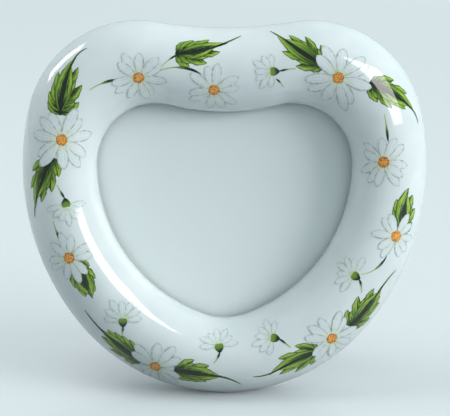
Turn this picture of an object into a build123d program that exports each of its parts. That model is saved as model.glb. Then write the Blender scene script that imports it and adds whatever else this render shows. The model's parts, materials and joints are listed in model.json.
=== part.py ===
from build123d import *
import os
from collections import namedtuple
from math import atan2, cos, hypot, pi, radians, sin, sqrt

# Heart shaped porcelain photo frame that stands on its own easel leg. Millimetres.
# The pieces are drawn upright: X across, Z up, Y from front to back, with the flat back of
# the ring in the plane Y = 0. The whole frame then leans back and stands on the floor Z = 0.

# Outer heart, at the ring's widest: tangent arcs, the same on both sides of the middle line.
# The side arc's centre lies side_drop below the lobe's and across the middle line, and the
# tip arc's centre lies tip_share times that far across from the side arc's centre.
outer_lobe_x = 29.9
outer_lobe_z = 25.2
outer_lobe_r = 38.8
outer_notch_r = 144.7
outer_side_r = 87.5
outer_side_drop = 11.1
outer_tip_share = 1.296

# Sight opening, the heart through which the picture shows: its lobes and sides meet level
sight_lobe_x = 23.55
sight_lobe_z = 14.66
sight_lobe_r = 20.66
sight_notch_r = 75.4
sight_side_r = 55.8
sight_tip_share = 2.9

# Slip cast ring: a domed front, a rolled outer edge, a flat back and a hollow inside
dome_height = 14.0
roll_inset = 3.8
wall = 3.5
lip = 2.0
rebate_width = 4.0
vent_radius = 1.6
foot_cut = 0.5
dome_steps = 8
roll_steps = 3

# Layers in the rebate, from the front, and the play around them
lens_thickness = 2.0
card_thickness = 0.4
filler_thickness = 1.0
board_thickness = 2.0
velvet_thickness = 0.5
layer_gap = 0.1
edge_gap = 0.3
velvet_proud = 0.2
lens_bevel = 0.3

# How it stands
lean = 12.0
leg_open = 28.0

# Easel leg, a board with velvet on both faces
leg_board_thickness = 2.0
leg_velvet_thickness = 0.3
leg_gap = 0.3
leg_top_width = 24.0
leg_foot_width = 34.0
leg_top_gap = 0.5
leg_corner_r = 3.0
leg_velvet_lift = 0.5

# Steel butt hinge between the backing board and the leg
hinge_height = 22.0
leaf_thickness = 0.6
leaf_length = 12.5
leaf_width = 20.0
leaf_corner_r = 2.5
knuckle_r = 1.7
middle_knuckle = 7.0
pin_r = 0.8
pin_head_r = 1.3
pin_head = 0.4
pin_fit = 0.05
knuckle_gap = 0.2
knuckle_clear = 0.3
stop_width = 6.0
stop_gap = 0.05

# Rivets through the leaves
rivet_r = 1.0
rivet_head_r = 1.9
rivet_head = 0.8
rivet_spacing = 12.0
rivet_drop = 7.8

# Turn buttons that hold the backing board in its rebate
button_reach = 12.0
button_width = 7.0
button_thickness = 1.0
button_edge = 0.2
button_from_rebate = 6.5
upper_button_angle = 52.0
lower_button_angle = -44.0
pivot_fit = 0.06

# Screws, washers and the plastic anchors in the ring's back wall
screw_r = 1.1
screw_length = 8.0
screw_head_r = 2.6
screw_head = 1.3
screw_head_round = 0.6
screw_play = 0.05
cross_width = 0.6
cross_length = 3.2
cross_depth = 0.6
washer_r = 3.0
washer_thickness = 0.3
anchor_r = 2.0
anchor_length = 6.5
anchor_glue = 0.04
thread_fit = 0.02

overrun = 5.0

Heart = namedtuple("Heart", "lobe_x lobe_z lobe_r notch_r side_r tip_r tip_z")


# A heart whose tip arc follows from its lobes and sides
def heart_of(lobe_x, lobe_z, lobe_r, notch_r, side_r, side_drop, tip_share):
    across = sqrt((side_r - lobe_r) ** 2 - side_drop**2) - lobe_x
    tip_reach = tip_share * across
    tip_z = lobe_z - side_drop - sqrt(tip_reach**2 - across**2)
    return Heart(lobe_x, lobe_z, lobe_r, notch_r, side_r, side_r - tip_reach, tip_z)


OUTER = heart_of(
    outer_lobe_x, outer_lobe_z, outer_lobe_r, outer_notch_r, outer_side_r, outer_side_drop, outer_tip_share
)
SIGHT = heart_of(sight_lobe_x, sight_lobe_z, sight_lobe_r, sight_notch_r, sight_side_r, 0, sight_tip_share)

# Depths that follow from the layers
gap_count = 5
stack = lens_thickness + card_thickness + filler_thickness + board_thickness + velvet_thickness
rebate_depth = stack + gap_count * layer_gap - velvet_proud
ring_base = rebate_depth + lip
leg_front_y = velvet_proud + leg_gap
leg_board_y = leg_front_y + leg_velvet_thickness
leg_rear_velvet_y = leg_board_y + leg_board_thickness
leg_back_y = leg_rear_velvet_y + leg_velvet_thickness
hinge_y = leg_back_y + leaf_thickness - knuckle_r
button_y = washer_thickness + screw_play
screw_seat_y = button_y + button_thickness + screw_play

# Height of the floor below the drawing's origin, once the ring leans and its foot is ground flat
lean_sin, lean_cos = sin(radians(lean)), cos(radians(lean))
roll_z = OUTER.tip_z - OUTER.tip_r + roll_inset
roll_reach = hypot(ring_base * lean_sin, roll_inset * lean_cos)
floor_z = roll_z * lean_cos + ring_base * lean_sin - roll_reach + foot_cut
hinge_above_floor = hinge_height * lean_cos - hinge_y * lean_sin - floor_z
leg_length = hinge_above_floor / cos(radians(leg_open - lean))


# A heart that lies the same distance outside another all round
def grown(heart, by):
    return heart._replace(
        lobe_r=heart.lobe_r + by,
        notch_r=heart.notch_r - by,
        side_r=heart.side_r + by,
        tip_r=heart.tip_r + by,
    )


# A heart part of the way from one to another
def between(first, second, share):
    return Heart(*(a + (b - a) * share for a, b in zip(first, second)))


REBATE = grown(SIGHT, rebate_width)
LAYER = grown(REBATE, -edge_gap)
BUTTON_LINE = grown(REBATE, button_from_rebate)


# Centre of the arc down the heart's right side, tangent to the lobe and to the tip
def side_centre(heart):
    to_lobe = heart.side_r - heart.lobe_r
    to_tip = heart.side_r - heart.tip_r
    rise = heart.lobe_z - heart.tip_z
    apart = hypot(heart.lobe_x, rise)
    along = (to_tip**2 - to_lobe**2 + apart**2) / (2 * apart)
    aside = sqrt(to_tip**2 - along**2)
    x = (along * heart.lobe_x - aside * rise) / apart
    z = heart.tip_z + (along * rise + aside * heart.lobe_x) / apart
    return x, z


def on_arc(centre, radius, angle, y):
    return Vector(centre[0] + radius * cos(angle), y, centre[1] + radius * sin(angle))


# The closed outline, from the notch down the right side to the tip and back up the left side
def heart_wire(heart, y):
    lobe = (heart.lobe_x, heart.lobe_z)
    notch = (0, heart.lobe_z + sqrt((heart.lobe_r + heart.notch_r) ** 2 - heart.lobe_x**2))
    side = side_centre(heart)
    tip = (0, heart.tip_z)
    notch_end = atan2(notch[1] - lobe[1], -lobe[0])
    side_start = atan2(lobe[1] - side[1], lobe[0] - side[0])
    tip_start = atan2(tip[1] - side[1], -side[0])
    arcs = [
        (notch, heart.notch_r, -pi / 2, notch_end - pi),
        (lobe, heart.lobe_r, notch_end, side_start),
        (side, heart.side_r, side_start, tip_start),
        (tip, heart.tip_r, tip_start, -pi / 2),
    ]
    right = []
    for centre, radius, start, end in arcs:
        right.append([on_arc(centre, radius, angle, y) for angle in (start, (start + end) / 2, end)])
    left = [[Vector(-p.X, p.Y, p.Z) for p in reversed(points)] for points in reversed(right)]
    return Wire([Edge.make_three_point_arc(*points) for points in right + left])


def heart_plate(heart, y, thickness):
    return Solid.extrude(Face(heart_wire(heart, y)), Vector(0, thickness, 0))


# A round bar along Y from one depth to another
def bar(x, z, radius, start, end):
    return Solid.make_cylinder(radius, end - start, Plane((x, start, z), x_dir=(1, 0, 0), z_dir=(0, 1, 0)))


# A round bar along X
def cross_bar(y, z, radius, start, end):
    return Solid.make_cylinder(radius, end - start, Plane((start, y, z), x_dir=(0, 1, 0), z_dir=(1, 0, 0)))


def block(x_range, y_range, z_range):
    sizes = [high - low for low, high in (x_range, y_range, z_range)]
    return Pos(x_range[0], y_range[0], z_range[0]) * Solid.make_box(*sizes)


# Hearts over the dome, from the outer outline to the inner one
def dome_wires(outer, inner, base, height):
    wires = []
    for step in range(dome_steps + 1):
        turn = pi * step / dome_steps
        wires.append(heart_wire(between(outer, inner, (1 - cos(turn)) / 2), -base - height * sin(turn)))
    return wires


# A closed solid from a domed skin, straight sides down to a depth and a flat back there
def ring_solid(skin_wires, outer_back, inner_back, sides):
    faces = list(Shell.make_loft(skin_wires).faces())
    for pair in sides:
        faces += Shell.make_loft(pair, ruled=True).faces()
    faces.append(Face(outer_back, [inner_back]))
    return Solid(Shell(faces))


# Two turn buttons above and two below, with the direction in which each points inwards
def button_spots():
    spots = {}
    places = {
        "upper": ((BUTTON_LINE.lobe_x, BUTTON_LINE.lobe_z), BUTTON_LINE.lobe_r, upper_button_angle),
        "lower": (side_centre(BUTTON_LINE), BUTTON_LINE.side_r, lower_button_angle),
    }
    for height, (centre, radius, angle) in places.items():
        point = on_arc(centre, radius, radians(angle), 0)
        spots[height + "_right"] = (point.X, point.Z, angle + 180)
        spots[height + "_left"] = (-point.X, point.Z, -angle)
    return spots


SPOTS = button_spots()


def porcelain_ring():
    wires = []
    for step in range(roll_steps):
        turn = (step / roll_steps - 1) * pi / 2
        rolled = grown(OUTER, -roll_inset * (1 - cos(turn)))
        wires.append(heart_wire(rolled, -ring_base * (1 + sin(turn))))
    wires += dome_wires(OUTER, SIGHT, ring_base, dome_height)
    sight_back = heart_wire(SIGHT, 0)
    ring = ring_solid(wires, wires[0], sight_back, [[wires[-1], sight_back]])

    hollow_outer, hollow_inner = grown(OUTER, -wall), grown(REBATE, wall)
    dome = dome_wires(hollow_outer, hollow_inner, ring_base, dome_height - wall)
    outer_back, inner_back = heart_wire(hollow_outer, -wall), heart_wire(hollow_inner, -wall)
    hollow = ring_solid(dome, outer_back, inner_back, [[outer_back, dome[0]], [dome[-1], inner_back]])

    ring = ring - hollow
    ring = ring - heart_plate(REBATE, -rebate_depth, rebate_depth + overrun)
    for x, z, _ in SPOTS.values():
        ring = ring - bar(x, z, anchor_r, -wall - overrun, overrun)
    rebate_bottom = REBATE.tip_z - REBATE.tip_r
    ring = ring - bar(0, (rebate_bottom + roll_z) / 2, vent_radius, -wall - overrun, overrun)
    return ring


# Plates in the rebate, front to back
def rebate_layers():
    names = ["lens", "insert_card", "filler_card", "backing_board", "back_velvet"]
    sizes = [lens_thickness, card_thickness, filler_thickness, board_thickness, velvet_thickness]
    layers, y = {}, -rebate_depth
    for name, thickness in zip(names, sizes):
        y += layer_gap
        layers[name] = heart_plate(LAYER, y, thickness)
        y += thickness
    layers["lens"] = layers["lens"].chamfer(lens_bevel, None, layers["lens"].edges())
    for x in (-rivet_spacing / 2, rivet_spacing / 2):
        hole = bar(x, hinge_height + rivet_drop, rivet_r, -rebate_depth, overrun)
        layers["backing_board"] = layers["backing_board"] - hole
        layers["back_velvet"] = layers["back_velvet"] - hole
    return layers


# A leaf plate with its far corners rounded, seen from behind
def leaf_plate(y, low, high, rounded_at):
    plate = block((-leaf_width / 2, leaf_width / 2), (y, y + leaf_thickness), (low, high))
    corners = [e for e in plate.edges().filter_by(Axis.Y) if abs(e.center().Z - rounded_at) < leaf_thickness]
    return plate.fillet(leaf_corner_r, corners)


# The upper leaf carries the two outer knuckles and the lower leaf the middle one and the stop
def hinge_leaves():
    half = leaf_width / 2
    middle = middle_knuckle / 2
    clear = knuckle_r + knuckle_clear
    bore = cross_bar(hinge_y, hinge_height, pin_r + pin_fit, -leaf_width, leaf_width)
    upper = leaf_plate(velvet_proud, hinge_height, hinge_height + leaf_length, hinge_height + leaf_length)
    lower = leaf_plate(leg_back_y, hinge_height - leaf_length, hinge_height, hinge_height - leaf_length)
    for side in (-1, 1):
        ends = sorted((side * (middle + knuckle_gap), side * half))
        upper = upper + cross_bar(hinge_y, hinge_height, knuckle_r, *ends)
        room = sorted((side * middle, side * (half + overrun)))
        lower = lower - block(room, (0, leg_back_y + overrun), (hinge_height - clear, hinge_height + overrun))
    room = (-middle - knuckle_gap, middle + knuckle_gap)
    upper = upper - block(room, (-overrun, leg_back_y), (hinge_height - overrun, hinge_height + clear))
    lower = lower + cross_bar(hinge_y, hinge_height, knuckle_r, -middle, middle)

    # The stop is a tongue on the lower leaf that meets the upper leaf when the leg is open
    turn = radians(leg_open)
    front_of_stop = (leg_back_y - hinge_y) * cos(turn)
    behind_leaf = hinge_y - velvet_proud - leaf_thickness - stop_gap
    stop_height = (front_of_stop + behind_leaf) / sin(turn)
    stop_z = (hinge_height, hinge_height + stop_height)
    stop_y = (leg_back_y, leg_back_y + leaf_thickness)
    lower = lower + block((-stop_width / 2, stop_width / 2), stop_y, stop_z)
    for x in (-rivet_spacing / 2, rivet_spacing / 2):
        upper = upper - bar(x, hinge_height + rivet_drop, rivet_r, -overrun, leg_back_y + overrun)
        lower = lower - bar(x, hinge_height - rivet_drop, rivet_r, -overrun, leg_back_y + overrun)
    return upper - bore, lower - bore


def hinge_pin():
    half = leaf_width / 2
    pin = cross_bar(hinge_y, hinge_height, pin_r, -half, half)
    for start, end in ((-half - pin_head, -half), (half, half + pin_head)):
        pin = pin + cross_bar(hinge_y, hinge_height, pin_head_r, start, end)
    return pin


# A pair of rivets whose domed heads lie on a leaf and whose tails are closed flush at the front
def rivet_pair(leaf_y, tail_y, z):
    rivets = []
    for x in (-rivet_spacing / 2, rivet_spacing / 2):
        head = bar(x, z, rivet_head_r, leaf_y, leaf_y + rivet_head)
        rim = head.edges().sort_by(Axis.Y)[-1]
        rivets.append(head.fillet(rivet_head / 2, [rim]) + bar(x, z, rivet_r, tail_y, leaf_y))
    return rivets


# The leg's outline: narrow at the hinge, wider at the floor, with round shoulders
def leg_plate(y, thickness, inset):
    top = hinge_height - knuckle_r - leg_top_gap - inset
    bottom = hinge_height - leg_length - overrun
    half_top, half_foot = leg_top_width / 2 - inset, leg_foot_width / 2 - inset
    outline = Polyline(
        (half_top, y, top), (half_foot, y, bottom), (-half_foot, y, bottom), (-half_top, y, top), close=True
    )
    plate = Solid.extrude(Face(outline), Vector(0, thickness, 0))
    shoulders = [e for e in plate.edges().filter_by(Axis.Y) if abs(e.center().Z - top) < leg_corner_r]
    return plate.fillet(leg_corner_r, shoulders)


# The leg's pieces, drawn folded flat against the back
def leg_pieces():
    pieces = {
        "leg_front_velvet": leg_plate(leg_front_y, leg_velvet_thickness, 0),
        "leg_board": leg_plate(leg_board_y, leg_board_thickness, 0),
        "leg_rear_velvet": leg_plate(leg_rear_velvet_y, leg_velvet_thickness, 0),
    }
    for name in pieces:
        for x in (-rivet_spacing / 2, rivet_spacing / 2):
            pieces[name] = pieces[name] - bar(x, hinge_height - rivet_drop, rivet_r, -overrun, overrun)
    return pieces


# A turn button lies on its washer and points from its screw in over the board
def turn_button(x, z, angle):
    outline = Plane.XZ * SlotCenterToCenter(button_reach - button_width / 2, button_width)
    outline = Pos((button_reach - button_width / 2) / 2, 0, 0) * outline
    plate = Solid.extrude(outline.face(), Vector(0, button_thickness, 0))
    plate = plate.chamfer(button_edge, None, plate.edges().group_by(Axis.Y)[-1])
    plate = plate - bar(0, 0, screw_r + pivot_fit, -overrun, overrun)
    return Pos(x, button_y, z) * Rot(0, -angle, 0) * plate


def washer(x, z):
    return bar(x, z, washer_r, 0, washer_thickness) - bar(x, z, screw_r + pivot_fit, -overrun, overrun)


# A pan head screw with a crossed recess
def screw(x, z):
    head = bar(x, z, screw_head_r, screw_seat_y, screw_seat_y + screw_head)
    head = head.fillet(screw_head_round, [head.edges().sort_by(Axis.Y)[-1]])
    recess_y = (screw_seat_y + screw_head - cross_depth, screw_seat_y + screw_head + overrun)
    long, short = (-cross_length / 2, cross_length / 2), (-cross_width / 2, cross_width / 2)
    for x_range, z_range in ((long, short), (short, long)):
        recess = block(x_range, recess_y, z_range)
        head = head - Pos(x, 0, z) * recess
    return head + bar(x, z, screw_r, screw_seat_y - screw_length, screw_seat_y)


# A plastic tube glued into a hole in the ring's back wall, for one screw
def anchor(x, z):
    body = bar(x, z, anchor_r - anchor_glue, -anchor_length, 0)
    return body - bar(x, z, screw_r + thread_fit, -anchor_length - overrun, overrun)


def build_pieces():
    pieces = {"porcelain_frame": porcelain_ring()}
    pieces.update(rebate_layers())
    upper_leaf, lower_leaf = hinge_leaves()
    pieces["hinge_upper_leaf"] = upper_leaf
    pieces["hinge_pin"] = hinge_pin()
    upper_rivets = rivet_pair(velvet_proud + leaf_thickness, board_front_y(), hinge_height + rivet_drop)
    pieces["board_rivets"] = Compound(upper_rivets)
    for name, (x, z, angle) in SPOTS.items():
        pieces["turn_button_" + name] = turn_button(x, z, angle)
    pieces["button_screws"] = Compound([screw(x, z) for x, z, _ in SPOTS.values()])
    pieces["button_washers"] = Compound([washer(x, z) for x, z, _ in SPOTS.values()])
    pieces["screw_anchors"] = Compound([anchor(x, z) for x, z, _ in SPOTS.values()])

    leg = leg_pieces()
    leg["hinge_lower_leaf"] = lower_leaf
    leg["leg_rivets"] = Compound(
        rivet_pair(leg_back_y + leaf_thickness, leg_front_y, hinge_height - rivet_drop)
    )
    opened = Pos(0, hinge_y, hinge_height) * Rot(leg_open, 0, 0) * Pos(0, -hinge_y, -hinge_height)
    pieces.update({name: opened * piece for name, piece in leg.items()})
    return pieces


# Front face of the backing board
def board_front_y():
    return velvet_proud - velvet_thickness - layer_gap - board_thickness


# Lean the frame back, set it on the floor and grind its foot and the leg's end to the floor
def stand(pieces):
    leaning = {name: Pos(0, 0, -floor_z) * Rot(-lean, 0, 0) * piece for name, piece in pieces.items()}
    reach = outer_lobe_x + outer_side_r
    ground = block((-reach, reach), (-reach, reach), (-reach, 0))
    for name in ("porcelain_frame", "leg_board"):
        leaning[name] = leaning[name] - ground
    for name in ("leg_front_velvet", "leg_rear_velvet"):
        leaning[name] = leaning[name] - Pos(0, 0, leg_velvet_lift) * ground
    boxes = [piece.bounding_box() for piece in leaning.values()]
    middle = (min(box.min.Y for box in boxes) + max(box.max.Y for box in boxes)) / 2
    return {name: Pos(0, -middle, 0) * piece for name, piece in leaning.items()}, -middle


# Where a drawn point is once the frame stands
def standing(x, y, z, shift):
    return (x, y * lean_cos + z * lean_sin + shift, z * lean_cos - y * lean_sin - floor_z)


os.makedirs("parts", exist_ok=True)
upright = build_pieces()
standing_pieces, shift_y = stand(upright)
for node, shape in standing_pieces.items():
    export_step(shape, "parts/" + node + ".step")

print("leg hinge", standing(0, hinge_y, hinge_height, shift_y))
for spot, (x, z, _) in SPOTS.items():
    print("turn button", spot, standing(x, button_y, z, shift_y))
print("turn button axis", (0, lean_cos, -lean_sin))
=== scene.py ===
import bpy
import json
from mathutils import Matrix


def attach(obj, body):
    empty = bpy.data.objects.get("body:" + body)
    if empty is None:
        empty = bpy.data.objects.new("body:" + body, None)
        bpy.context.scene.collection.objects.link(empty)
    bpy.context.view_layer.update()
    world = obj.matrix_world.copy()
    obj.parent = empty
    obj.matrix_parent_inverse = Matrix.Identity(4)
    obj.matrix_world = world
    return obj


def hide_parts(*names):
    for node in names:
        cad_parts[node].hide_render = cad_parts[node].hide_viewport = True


bl_info = {
    "name": "Porcelain Heart Photo Frame",
    "version": (1, 0, 0),
    "blender": (4, 5, 0),
    "location": "View3D > Sidebar > Photo Frame",
    "description": "Dresses a porcelain heart photo frame: glazed ring, daisies, velvet back and easel leg",
    "category": "Mesh",
}

import json
from collections import namedtuple
from math import atan2, cos, hypot, pi, radians, sin, sqrt

import bpy
from bpy.props import FloatProperty, FloatVectorProperty, IntProperty, PointerProperty
from mathutils import Matrix, Quaternion, Vector

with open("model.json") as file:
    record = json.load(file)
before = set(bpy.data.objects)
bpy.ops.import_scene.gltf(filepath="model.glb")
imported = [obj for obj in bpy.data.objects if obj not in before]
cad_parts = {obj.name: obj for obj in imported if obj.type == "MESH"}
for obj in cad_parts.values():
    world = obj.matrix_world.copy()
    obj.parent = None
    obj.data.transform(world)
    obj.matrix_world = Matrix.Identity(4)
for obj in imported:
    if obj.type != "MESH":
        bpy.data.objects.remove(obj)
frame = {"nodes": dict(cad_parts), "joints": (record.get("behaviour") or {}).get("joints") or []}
NODES = frame["nodes"]
JOINTS = {joint["name"]: joint for joint in frame["joints"]}

# The pieces are drawn upright in millimetres, X across, Z up and Y to the back, with the ring's
# flat back in the plane Y = 0, and are then leaned back and stood on the floor
MM = 0.001
LEAN = radians(12)
LEG_OPEN = radians(28)
HINGE = Vector((0, 2.0, 22.0))

leaning = Matrix.Rotation(-LEAN, 4, "X") @ Matrix.Scale(MM, 4)
STAND = Matrix.Translation(Vector(JOINTS["leg_hinge"]["pos_m"]) - leaning @ HINGE) @ leaning
LEG_STAND = (
    STAND @ Matrix.Translation(HINGE) @ Matrix.Rotation(LEG_OPEN, 4, "X") @ Matrix.Translation(-HINGE)
)
BUTTON_SPOTS = [
    STAND.inverted() @ Vector(joint["pos_m"]) for name, joint in JOINTS.items() if name.endswith("_turn")
]

# A heart as arcs tangent to one another, the same on both sides of the middle line
Heart = namedtuple("Heart", "lobe_x lobe_z lobe_r notch_r side_r tip_r tip_z")


def heart_of(lobe_x, lobe_z, lobe_r, notch_r, side_r, side_drop, tip_share):
    """A heart whose tip arc follows from its lobes and sides"""
    across = sqrt((side_r - lobe_r) ** 2 - side_drop**2) - lobe_x
    tip_reach = tip_share * across
    tip_z = lobe_z - side_drop - sqrt(tip_reach**2 - across**2)
    return Heart(lobe_x, lobe_z, lobe_r, notch_r, side_r, side_r - tip_reach, tip_z)


OUTER = heart_of(29.9, 25.2, 38.8, 144.7, 87.5, 11.1, 1.296)
SIGHT = heart_of(23.55, 14.66, 20.66, 75.4, 55.8, 0, 2.9)

# The ring's section, in millimetres
RING_BASE = 8.2
DOME_HEIGHT = 14.0
ROLL_INSET = 3.8
REBATE_DEPTH = 6.2
REBATE_WIDTH = 4.0
LIP_ROUND = 0.35
MOUTH_ROUND = 0.7
EDGE_GAP = 0.3
VENT_RADIUS = 1.6
ANCHOR_RADIUS = 2.0
HOLE_DEPTH = 7.5


def grown(heart, by):
    """A heart that lies the same distance outside another all round"""
    return heart._replace(
        lobe_r=heart.lobe_r + by,
        notch_r=heart.notch_r - by,
        side_r=heart.side_r + by,
        tip_r=heart.tip_r + by,
    )


def between(first, second, share):
    """A heart part of the way from one to another"""
    return Heart(*(a + (b - a) * share for a, b in zip(first, second)))


REBATE = grown(SIGHT, REBATE_WIDTH)


def arcs_of(heart):
    """Centre, radius, start and end of the arcs from the notch down the right side to the tip"""
    to_lobe = heart.side_r - heart.lobe_r
    to_tip = heart.side_r - heart.tip_r
    rise = heart.lobe_z - heart.tip_z
    apart = hypot(heart.lobe_x, rise)
    along = (to_tip**2 - to_lobe**2 + apart**2) / (2 * apart)
    aside = sqrt(to_tip**2 - along**2)
    side = (
        (along * heart.lobe_x - aside * rise) / apart,
        heart.tip_z + (along * rise + aside * heart.lobe_x) / apart,
    )
    notch_z = heart.lobe_z + sqrt((heart.lobe_r + heart.notch_r) ** 2 - heart.lobe_x**2)
    notch_end = atan2(notch_z - heart.lobe_z, -heart.lobe_x)
    side_start = atan2(heart.lobe_z - side[1], heart.lobe_x - side[0])
    tip_start = atan2(heart.tip_z - side[1], -side[0])
    return [
        ((0, notch_z), heart.notch_r, -pi / 2, notch_end - pi),
        ((heart.lobe_x, heart.lobe_z), heart.lobe_r, notch_end, side_start),
        (side, heart.side_r, side_start, tip_start),
        ((0, heart.tip_z), heart.tip_r, tip_start, -pi / 2),
    ]


def steps_along(heart, spacing):
    """How many steps each arc of a heart takes at about one spacing"""
    return [max(3, round(abs(end - start) * radius / spacing)) for _, radius, start, end in arcs_of(heart)]


def outline(heart, steps):
    """Points round a heart, clockwise from the notch as seen from the front"""
    right = []
    for (centre, radius, start, end), count in zip(arcs_of(heart), steps):
        for step in range(count):
            angle = start + (end - start) * step / count
            right.append((centre[0] + radius * cos(angle), centre[1] + radius * sin(angle)))
    left = [(-x, z) for x, z in reversed(right[1:])]
    return right + [(0, heart.tip_z - heart.tip_r)] + left


def colour(code):
    """A linear colour from its sRGB hex value"""
    shares = [int(code[place : place + 2], 16) / 255 for place in (0, 2, 4)]
    linear = [s / 12.92 if s <= 0.04045 else ((s + 0.055) / 1.055) ** 2.4 for s in shares]
    return (*linear, 1.0)


def swatch(name, code, description):
    return FloatVectorProperty(
        name=name, description=description, subtype="COLOR", size=4, min=0, max=1, default=colour(code)
    )


def number(name, default, description, **limits):
    return FloatProperty(name=name, description=description, default=default, **limits)


def factor(name, default, description):
    return number(name, default, description, subtype="FACTOR", min=0, max=1)


def watts(name, default, lamp):
    return number(name, default, "Power of " + lamp, unit="POWER", min=0)


class RingSettings(bpy.types.PropertyGroup):
    glaze: swatch("Glaze", "E4EAEA", "Cool white of the glazed porcelain")
    glaze_shade: swatch("Thick Glaze", "DDE5E6", "Where the glaze has run thicker")
    biscuit: swatch("Biscuit", "DAD3C6", "Unglazed clay of the ground foot")
    # the rebate's clay is darkened as painted shade, for the dark line where the lip meets the lens
    rebate: swatch("Rebate Clay", "75726B", "Unglazed and shaded clay of the rebate")
    spacing: number("Spacing", 1.4, "Distance between sections along the ring in millimetres", min=1.4)
    dome_steps: IntProperty(name="Dome Steps", description="Faces across the domed front", min=8, default=54)
    lens: swatch("Lens", "FAFCFC", "Faint green of the clear lens")
    card: swatch("Insert", "F9FAFA", "Blank insert card behind the lens")
    card_shade: swatch("Insert Shade", "F4F6F6", "Felt mark of the card")


class GarlandSettings(bpy.types.PropertyGroup):
    petal_line: swatch("Petal Line", "9CADA6", "Grey green line round each petal")
    petal_base: swatch("Petal Base", "CBDA9E", "Yellow green at the foot of each petal")
    centre: swatch("Daisy Centre", "F0A443", "Orange florets of the daisies")
    centre_dark: swatch("Centre Shade", "A25A24", "Brown specks round the florets")
    leaf: swatch("Leaf", "749C2E", "Bright green of the leaves")
    leaf_dark: swatch("Leaf Shade", "182313", "Near black strokes on the leaves")
    stem: swatch("Stem", "BFD285", "Pale yellow green of the stems")


class BackSettings(bpy.types.PropertyGroup):
    velvet: swatch("Velvet", "171B24", "Dark blue black pile of the back")
    steel: swatch("Steel", "B4B7B8", "Zinc plated steel of the hinge and rivets")
    brass: swatch("Brass", "C8A256", "Rolled brass of the turn buttons")
    nylon: swatch("Nylon", "D9D6CA", "Moulded nylon of the washers and anchors")
    board: swatch("Hardboard", "6B4A30", "Pressed wood fibre of the boards")


class StageSettings(bpy.types.PropertyGroup):
    floor: swatch("Floor", "D8DDDF", "Plain pale floor")
    floor_bounce: swatch("Floor Bounce", "8E9497", "What the floor gives back to the frame")
    floor_lift: factor("Floor Lift", 0.06, "Brightens the floor for the eye alone")
    sky: swatch("Room", "D2E2E6", "Pale room round the floor")
    seen: factor("Seen Room", 0.6, "Brightness of the room as the eye and the mirrors see it")
    distance: number("Camera Distance", 0.651, "From the camera to what it looks at", unit="LENGTH", min=0)
    elevation: number("Camera Elevation", radians(15), "Above the horizon", subtype="ANGLE")
    focal: number("Focal Length", 150.0, "Of the camera's lens", unit="CAMERA")
    key: watts("Key", 15.6, "the soft light at the right")
    fill: watts("Fill", 1.5, "the weak light from the upper left")
    side: watts("Side Light", 6.0, "the light on the ring's left wall")
    back: watts("Back Light", 7.0, "the soft light behind")
    softbox: watts("Softbox", 1.6, "the mirrored softbox")
    strip: watts("Strip", 1.0, "the mirrored strip light")
    room: factor("Room Light", 0.79, "Strength of the room's light on the frame")
    lean: factor("Room Lean", 0.6, "Share by which the room is brighter at the right and dimmer at the left")


GLAZE_IOR = 1.52
GLASS_IOR = 1.5


def connect(tree, inputs, values):
    """Sets a node's inputs, by name or in their order, or links them where an output is given"""
    for key, value in values.items() if isinstance(values, dict) else enumerate(values):
        if isinstance(value, bpy.types.NodeSocket):
            tree.links.new(value, inputs[key])
        else:
            inputs[key].default_value = value


def wire(tree, shader, **values):
    """Sets or links a shader's own inputs, by their names with an underscore for each space"""
    connect(tree, shader, {name.replace("_", " "): value for name, value in values.items()})


def add(tree, kind, inputs=(), out=0, stops=None, **settings):
    """Adds a node with its settings, its inputs set or linked and its ramp's stops, and gives an output"""
    node = tree.nodes.new("ShaderNode" + kind)
    for name, value in settings.items():
        setattr(node, name, value)
    connect(tree, node.inputs, inputs)
    if stops:
        ramp = node.color_ramp.elements
        ramp[0].position, ramp[0].color = stops[0]
        ramp[1].position, ramp[1].color = stops[-1]
        for place, shade in stops[1:-1]:
            ramp.new(place).color = shade
    return node.outputs[out]


def new_material(name, **values):
    """A material, its node tree and its shader's inputs, with values set on them"""
    made = bpy.data.materials.new(name)
    made.use_nodes = True
    tree = made.node_tree
    shader = tree.nodes["Principled BSDF"].inputs
    wire(tree, shader, **values)
    return made, tree, shader


def per(size):
    """A pattern scale from the size of its features in millimetres"""
    return 1 / (size * MM)


def grey(share):
    return (share, share, share, 1.0)


def glazed(name):
    """A material under the clear glaze, which has flowed out and is barely wavy"""
    made, tree, shader = new_material(name, IOR=GLAZE_IOR)
    place = add(tree, "TexCoord", out="Object")
    wave = add(tree, "TexNoise", {"Vector": place, "Scale": per(9), "Detail": 1.0})
    bump = add(tree, "Bump", {"Height": wave, "Strength": 0.2, "Distance": 0.03 * MM})
    gloss = add(tree, "ValToRGB", [wave], stops=[(0.3, grey(0.05)), (0.7, grey(0.08))])
    wire(tree, shader, Normal=bump, Roughness=gloss)
    return made, tree, shader, place, wave


def white_glaze(settings, tree, wave):
    """The ring's own white, a little cooler where the glaze is thick"""
    thickness = [(0.35, settings.glaze[:]), (0.7, settings.glaze_shade[:])]
    return add(tree, "ValToRGB", [wave], stops=thickness)


def strip_sides(tree):
    """A painted strip's own coordinates: along it, across it, and how far aside of its middle line"""
    spot = add(tree, "TexCoord", out="UV")
    parts = add(tree, "SeparateXYZ", [spot]).node.outputs
    aside = add(tree, "Math", [parts["Y"], 2.0, -1.0], operation="MULTIPLY_ADD")
    return spot, parts["X"], parts["Y"], add(tree, "Math", [aside], operation="ABSOLUTE")


def glazed_porcelain(settings):
    """Slip cast and glazed porcelain: cool white clay under a mirror smooth glass skin"""
    made, tree, shader, _, wave = glazed("glazed_porcelain")
    wire(tree, shader, Base_Color=white_glaze(settings, tree, wave))
    return made


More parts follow.
